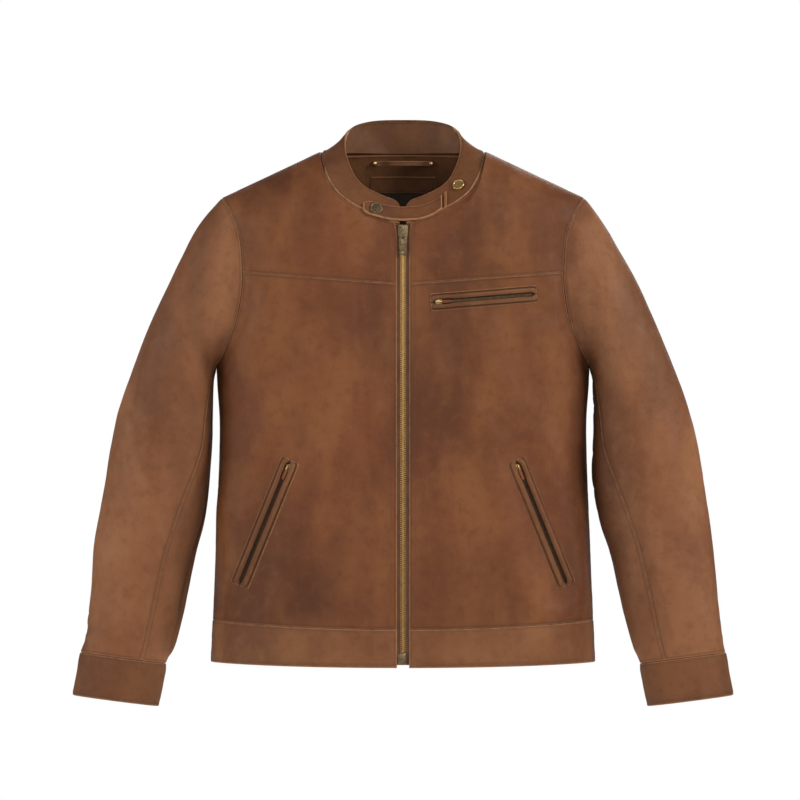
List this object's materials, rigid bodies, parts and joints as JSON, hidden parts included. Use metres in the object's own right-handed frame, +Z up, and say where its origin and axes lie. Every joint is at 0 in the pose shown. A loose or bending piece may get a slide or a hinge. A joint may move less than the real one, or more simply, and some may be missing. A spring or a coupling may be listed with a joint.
{
  "type": "leather riding jacket",
  "caption": "Hip-length leather riding jacket with a stand collar, zip front, throat strap, zipped pockets and full lining.",
  "frame": {"origin": "middle of the lower edge of the hanger loop inside the back of the neck, where a hook carries the jacket", "axes": "+X to the wearer's left across the jacket, +Y out of the jacket's back, +Z up towards the collar"},
  "size_m": [0.8308, 0.1746, 0.7361],
  "materials": {
    "body_leather": "waxed, semi-matt, mottled",
    "trim_leather": "waxed, worn lighter at the edges",
    "facing_leather": "smooth, semi-matt",
    "pull_leather": "smooth, reddish",
    "lining_cloth": "plain woven, dull",
    "zip_tape_and_teeth": "teeth bright, tape dark cotton",
    "dark_brass": "antiqued, worn bright at the rim",
    "brass_fittings": "satin, slightly tarnished"
  },
  "bodies": {
    "shell": {"front_panel_left": "body_leather", "front_yoke_left": "body_leather", "front_panel_right": "body_leather", "front_yoke_right": "body_leather", "back_panel": "body_leather", "back_yoke": "body_leather", "waistband_left": "trim_leather", "waistband_right": "trim_leather", "waistband_back": "trim_leather", "collar_outer": "body_leather", "collar_lining": "facing_leather", "lining_front_left": "lining_cloth", "lining_front_right": "lining_cloth", "neck_facing": "facing_leather", "lining_back": "lining_cloth", "hanger_loop": "trim_leather", "hanger_rivet_left": "brass_fittings", "hanger_rivet_right": "brass_fittings", "sleeve_under_left": "body_leather", "sleeve_top_left": "body_leather", "lining_sleeve_left": "lining_cloth", "cuff_left": "trim_leather", "sleeve_under_right": "body_leather", "sleeve_top_right": "body_leather", "lining_sleeve_right": "lining_cloth", "cuff_right": "trim_leather", "chest_pocket_welt_upper": "trim_leather", "chest_pocket_welt_lower": "trim_leather", "chest_pocket_zip_chain": "zip_tape_and_teeth", "chest_pocket_bag": "lining_cloth", "hand_pocket_left_welt_upper": "trim_leather", "hand_pocket_left_welt_lower": "trim_leather", "hand_pocket_left_zip_chain": "zip_tape_and_teeth", "hand_pocket_left_bag": "lining_cloth", "hand_pocket_right_welt_upper": "trim_leather", "hand_pocket_right_welt_lower": "trim_leather", "hand_pocket_right_zip_chain": "zip_tape_and_teeth", "hand_pocket_right_bag": "lining_cloth", "snap_stud": "brass_fittings", "park_snap": "brass_fittings"},
    "front_left": {"front_edge_left": "trim_leather", "waistband_end_left": "trim_leather", "facing_left": "facing_leather", "zip_half_left": "zip_tape_and_teeth", "insertion_pin": "brass_fittings"},
    "front_right": {"front_edge_right": "trim_leather", "waistband_end_right": "trim_leather", "facing_right": "facing_leather", "zip_half_right": "zip_tape_and_teeth", "insertion_box": "brass_fittings"},
    "main_slider": {"main_slider": "brass_fittings"},
    "main_pull": {"main_pull": "dark_brass"},
    "throat_strap": {"throat_strap": "trim_leather", "snap_cap": "brass_fittings"},
    "chest_pocket_slider": {"chest_pocket_slider": "brass_fittings"},
    "chest_pocket_pull": {"chest_pocket_pull": "pull_leather"},
    "hand_pocket_left_slider": {"hand_pocket_left_slider": "brass_fittings"},
    "hand_pocket_left_pull": {"hand_pocket_left_pull": "pull_leather"},
    "hand_pocket_right_slider": {"hand_pocket_right_slider": "brass_fittings"},
    "hand_pocket_right_pull": {"hand_pocket_right_pull": "pull_leather"}
  },
  "joints": [
    {"name": "front_left_opening", "type": "hinge", "parent": "shell", "child": "front_left", "pos_m": [0.084, -0.12368, -0.63197], "axis": [-0.1325, 0.0427, 0.9903], "range_deg": [0, 65], "deforming": ["zip_half_left"]},
    {"name": "front_right_opening", "type": "hinge", "parent": "shell", "child": "front_right", "pos_m": [-0.084, -0.12368, -0.63197], "axis": [0.1325, 0.0427, 0.9903], "range_deg": [-65, 0], "deforming": ["zip_half_right"]},
    {"name": "main_slider_travel", "type": "slide", "parent": "front_right", "child": "main_slider", "axis": [0, -0.043, -0.9991], "range_m": [0, 0.518]},
    {"name": "main_pull_swing", "type": "hinge", "parent": "main_slider", "child": "main_pull", "pos_m": [0, -0.10197, -0.08986], "axis": [-1, 0, 0], "range_deg": [0, 140]},
    {"name": "throat_strap_lift", "type": "hinge", "parent": "shell", "child": "throat_strap", "pos_m": [0.049, -0.09188, -0.0475], "axis": [0, 0.5, 0.866], "range_deg": [0, 85]},
    {"name": "chest_pocket_slider_travel", "type": "slide", "parent": "shell", "child": "chest_pocket_slider", "axis": [0.9954, 0.049, 0.082], "range_m": [0, 0.1008], "deforming": ["chest_pocket_zip_chain"]},
    {"name": "chest_pocket_pull_swing", "type": "hinge", "parent": "chest_pocket_slider", "child": "chest_pocket_pull", "pos_m": [0.04634, -0.10267, -0.17303], "axis": [0.0841, -0.0427, -0.9955], "range_deg": [0, 128]},
    {"name": "hand_pocket_left_slider_travel", "type": "slide", "parent": "shell", "child": "hand_pocket_left_slider", "axis": [0.3756, 0.0871, -0.9227], "range_m": [0, 0.1382], "deforming": ["hand_pocket_left_zip_chain"]},
    {"name": "hand_pocket_left_pull_swing", "type": "hinge", "parent": "hand_pocket_left_slider", "child": "hand_pocket_left_pull", "pos_m": [0.14544, -0.10827, -0.38198], "axis": [-0.8732, -0.3004, -0.3838], "range_deg": [0, 128]},
    {"name": "hand_pocket_right_slider_travel", "type": "slide", "parent": "shell", "child": "hand_pocket_right_slider", "axis": [-0.3756, 0.0871, -0.9227], "range_m": [0, 0.1382], "deforming": ["hand_pocket_right_zip_chain"]},
    {"name": "hand_pocket_right_pull_swing", "type": "hinge", "parent": "hand_pocket_right_slider", "child": "hand_pocket_right_pull", "pos_m": [-0.14544, -0.10827, -0.38198], "axis": [-0.8732, 0.3004, 0.3838], "range_deg": [0, 128]}
  ],
  "couplings": [
    {"joint": "front_right_opening", "follows": "front_left_opening", "ratio": -1},
    {"joint": "main_slider_travel", "follows": "front_left_opening", "m_per_rad": 0.45652}
  ]
}
